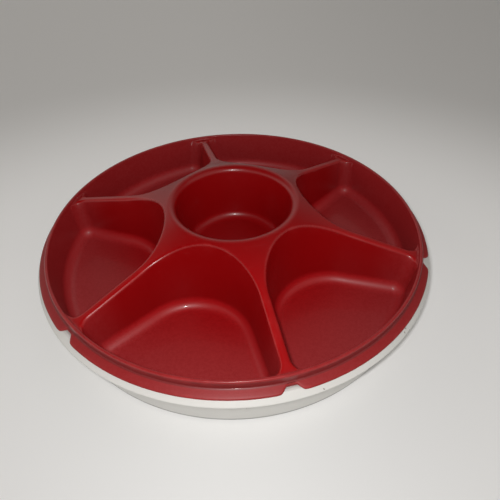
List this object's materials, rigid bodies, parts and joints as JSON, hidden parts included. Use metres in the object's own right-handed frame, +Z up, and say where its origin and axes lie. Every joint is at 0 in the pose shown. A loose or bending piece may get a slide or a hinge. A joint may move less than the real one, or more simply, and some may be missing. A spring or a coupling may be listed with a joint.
{
  "type": "chip and dip server",
  "caption": "Round divided serving tray with wedge wells around a raised central dip well, resting in a low white bowl with a skirted rim.",
  "frame": {"origin": "middle of the bowl's foot, on the surface it stands on", "axes": "+Z up along the middle of the server; +X through the middle of the first wedge well, so the dividers point 30 degrees either side of it"},
  "size_m": [0.3298, 0.3298, 0.0775],
  "materials": {
    "white_plastic": "satin moulded",
    "red_plastic": "glossy moulded"
  },
  "bodies": {
    "base": {"base_bowl": "white_plastic"},
    "tray": {"divided_tray": "red_plastic"}
  },
  "joints": [
    {"name": "tray_lift", "type": "slide", "parent": "base", "child": "tray", "axis": [0, 0, 1], "range_m": [0, 0.06]}
  ]
}
